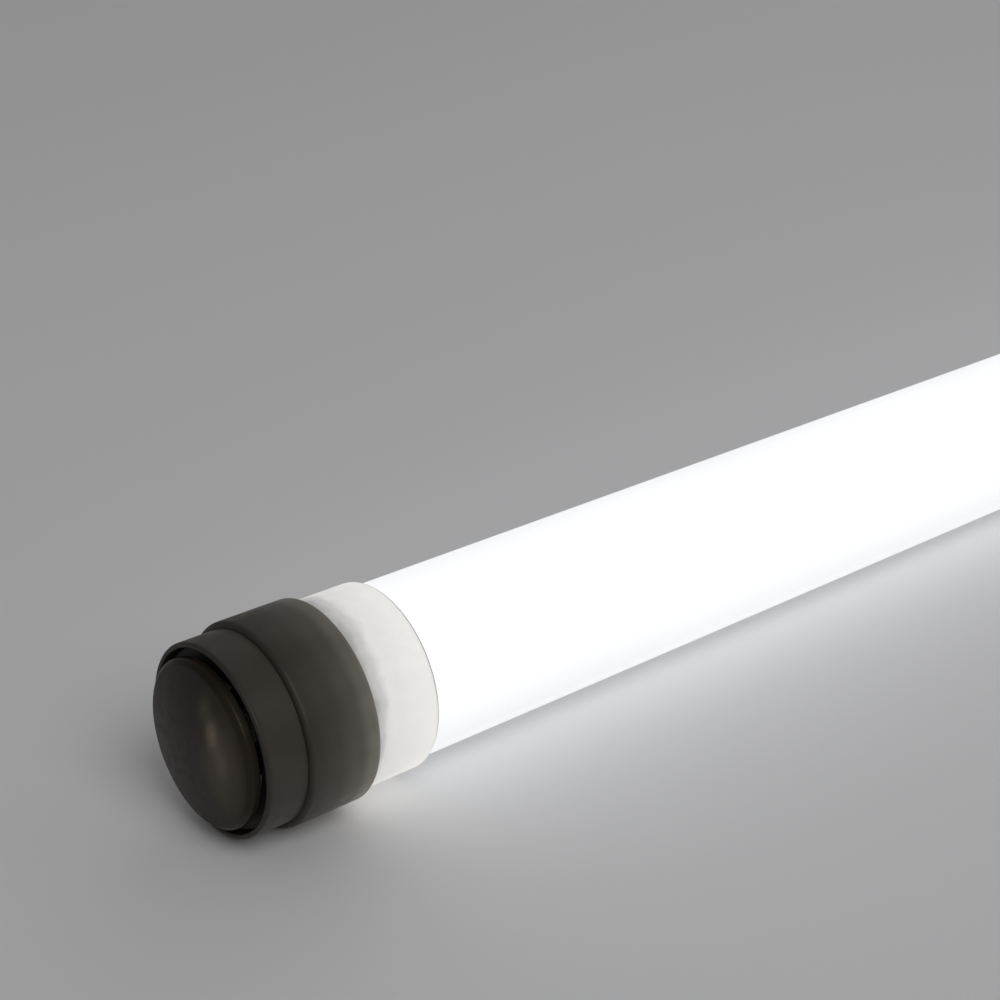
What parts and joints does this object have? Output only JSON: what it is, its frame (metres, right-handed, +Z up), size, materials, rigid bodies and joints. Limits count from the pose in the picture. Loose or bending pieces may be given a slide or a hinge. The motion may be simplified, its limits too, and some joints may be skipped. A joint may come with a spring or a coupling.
{
  "type": "led light tube",
  "caption": "Frosted LED light tube with a stepped sealed cap at each end, a push button in one end face and a cable gland in the other",
  "frame": {"origin": "on the surface the lamp lies on, under the middle of its overall length", "axes": "+X along the tube, from the button to the gland; +Z up, the way the LEDs face; +Y across"},
  "size_m": [0.6, 0.0296, 0.0296],
  "materials": {
    "diffuser": "frosted polycarbonate, lit from inside",
    "carrier": "extruded, plain",
    "led_board": "white solder mask",
    "led_package": "white tray with yellow phosphor",
    "resistor": "glazed chip with tinned ends",
    "collar": "milky translucent moulding",
    "cap_body": "smoky translucent moulding, satin",
    "bezel_ring": "smoky translucent moulding, satin",
    "gasket": "matte black",
    "face_piece": "satin moulding",
    "end_board": "green solder mask",
    "contact": "tinned strip",
    "switch": "black moulding",
    "plunger": "white acetal",
    "silicone": "milky silicone",
    "gland": "grey nylon",
    "grommet": "matte black",
    "terminal": "green moulding",
    "capacitor": "black sleeve"
  },
  "bodies": {
    "lamp": {"diffuser_tube": "diffuser", "led_carrier": "carrier", "led_board": "led_board", "led_chips": "led_package", "board_resistors": "resistor", "near_collar": "collar", "far_collar": "collar", "near_cap_body": "cap_body", "far_cap_body": "cap_body", "near_bezel_ring": "bezel_ring", "far_bezel_ring": "bezel_ring", "face_gaskets": "gasket", "far_end_plug": "face_piece", "near_board": "end_board", "far_board": "end_board", "near_contacts": "contact", "far_contacts": "contact", "switch_housing": "switch", "return_boot": "silicone", "gland_body": "gland", "gland_nut": "gland", "gland_grommet": "grommet", "gland_lock_nut": "gland", "terminal_block": "terminal", "inlet_capacitor": "capacitor"},
    "button": {"end_button": "face_piece", "switch_plunger": "plunger"}
  },
  "joints": [
    {"name": "button_push", "type": "slide", "parent": "lamp", "child": "button", "axis": [1, 0, 0], "range_m": [0, 0.0012], "stiffness_N_per_m": 2500, "springref_m": -0.0008, "deforming": ["return_boot"]}
  ]
}
